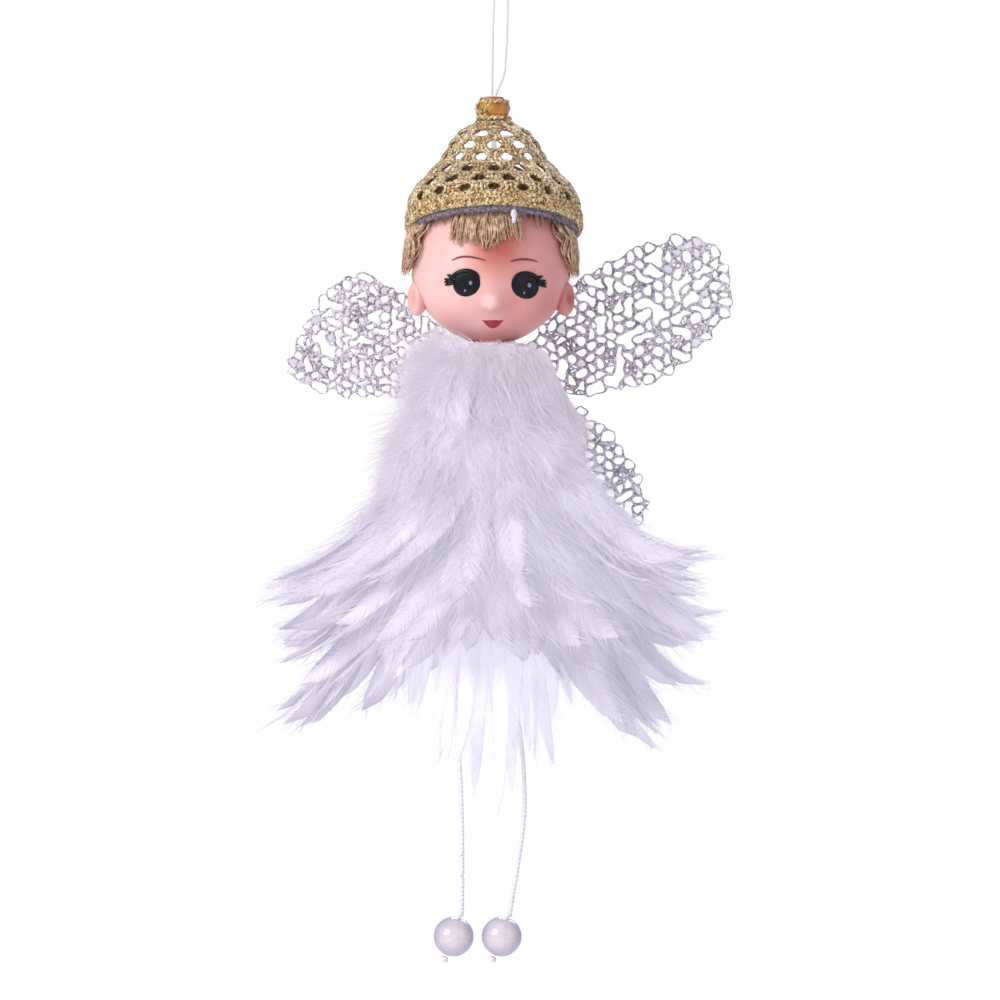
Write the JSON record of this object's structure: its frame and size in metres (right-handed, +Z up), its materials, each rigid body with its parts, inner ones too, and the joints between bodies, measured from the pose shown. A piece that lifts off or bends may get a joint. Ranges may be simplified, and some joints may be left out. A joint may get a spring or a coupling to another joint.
{
  "type": "hanging fairy ornament",
  "caption": "Hanging feather fairy with a doll's head in an openwork cap, net wings, layered feather dress and cord legs that end in pearls.",
  "frame": {"origin": "top of the hanging loop, where a hook or twig holds the ornament", "axes": "+Z up along the thread, the fairy faces -Y, +X to the right as the viewer sees it"},
  "size_m": [0.0919, 0.0779, 0.1968],
  "materials": {
    "nylon_thread": "clear monofilament",
    "amber_bead": "faceted, polished, see-through amber",
    "gold_net": "openwork of metallic gold yarn",
    "gold_braid": "dense metallic gold yarn with glitter",
    "doll_skin": "smooth satin vinyl, painted face",
    "white_plastic": "plain",
    "hair": "combed tan fibre",
    "neck_plastic": "plain",
    "core_foam": "white foam",
    "card": "white card",
    "down": "downy white feather",
    "feather": "white hackle feather with a soft sheen",
    "felt": "white felt",
    "silver_net": "stiff silver glitter net with lilac film",
    "leg_cord": "white twisted cord",
    "pearl": "pearlescent white"
  },
  "bodies": {
    "thread": {"hanging_thread": "nylon_thread"},
    "bead": {"tip_bead": "amber_bead"},
    "knot": {"thread_knot": "nylon_thread"},
    "head": {"head_shell": "doll_skin", "knot_washer": "white_plastic", "cap": "gold_net", "cap_band": "gold_braid", "hair_fringe": "hair", "hair_left": "hair", "hair_right": "hair", "hair_back": "hair"},
    "torso": {"neck_post": "neck_plastic", "body_core": "core_foam", "base_disc": "card", "feather_collar": "down", "feather_bodice": "down", "upper_skirt": "feather", "middle_skirt": "feather", "lower_skirt": "feather", "under_skirt": "feather", "wing_patch": "felt"},
    "left_wing": {"left_upper_wing": "silver_net", "left_lower_wing": "silver_net"},
    "right_wing": {"right_upper_wing": "silver_net", "right_lower_wing": "silver_net"},
    "left_hip": {"left_hip_knot": "leg_cord"},
    "left_leg": {"left_leg_cord": "leg_cord", "left_pearl": "pearl", "left_pearl_knot": "leg_cord"},
    "right_hip": {"right_hip_knot": "leg_cord"},
    "right_leg": {"right_leg_cord": "leg_cord", "right_pearl": "pearl", "right_pearl_knot": "leg_cord"}
  },
  "joints": [
    {"name": "side_swing", "type": "hinge", "parent": "thread", "child": "bead", "pos_m": [0, 0, -0.0234], "axis": [0, 1, 0], "range_deg": [-25, 25]},
    {"name": "front_swing", "type": "hinge", "parent": "bead", "child": "knot", "pos_m": [0, 0, -0.028], "axis": [1, 0, 0], "range_deg": [-18, 18]},
    {"name": "turn_on_thread", "type": "hinge", "parent": "knot", "child": "head", "pos_m": [0, 0, -0.03], "axis": [0, 0, 1], "range_deg": [-180, 180]},
    {"name": "head_turn", "type": "hinge", "parent": "head", "child": "torso", "pos_m": [0, 0, -0.0715], "axis": [0, 0, 1], "range_deg": [-45, 45]},
    {"name": "left_wing_flex", "type": "hinge", "parent": "torso", "child": "left_wing", "pos_m": [-0.00315, 0.0191, -0.0822], "axis": [0, 0, -1], "range_deg": [-10, 30], "stiffness_Nm_per_rad": 0.0005},
    {"name": "right_wing_flex", "type": "hinge", "parent": "torso", "child": "right_wing", "pos_m": [0.00475, 0.0191, -0.0822], "axis": [0, 0, 1], "range_deg": [-10, 30], "stiffness_Nm_per_rad": 0.0005},
    {"name": "left_leg_splay", "type": "hinge", "parent": "torso", "child": "left_hip", "pos_m": [-0.008, 0, -0.12542], "axis": [0, 1, 0], "range_deg": [0, 10]},
    {"name": "left_leg_swing", "type": "hinge", "parent": "left_hip", "child": "left_leg", "pos_m": [-0.008, 0, -0.12542], "axis": [1, 0, 0], "range_deg": [-22, 22]},
    {"name": "right_leg_splay", "type": "hinge", "parent": "torso", "child": "right_hip", "pos_m": [0.0016, 0, -0.12542], "axis": [0, -1, 0], "range_deg": [0, 10]},
    {"name": "right_leg_swing", "type": "hinge", "parent": "right_hip", "child": "right_leg", "pos_m": [0.0016, 0, -0.12542], "axis": [1, 0, 0], "range_deg": [-22, 22]}
  ]
}
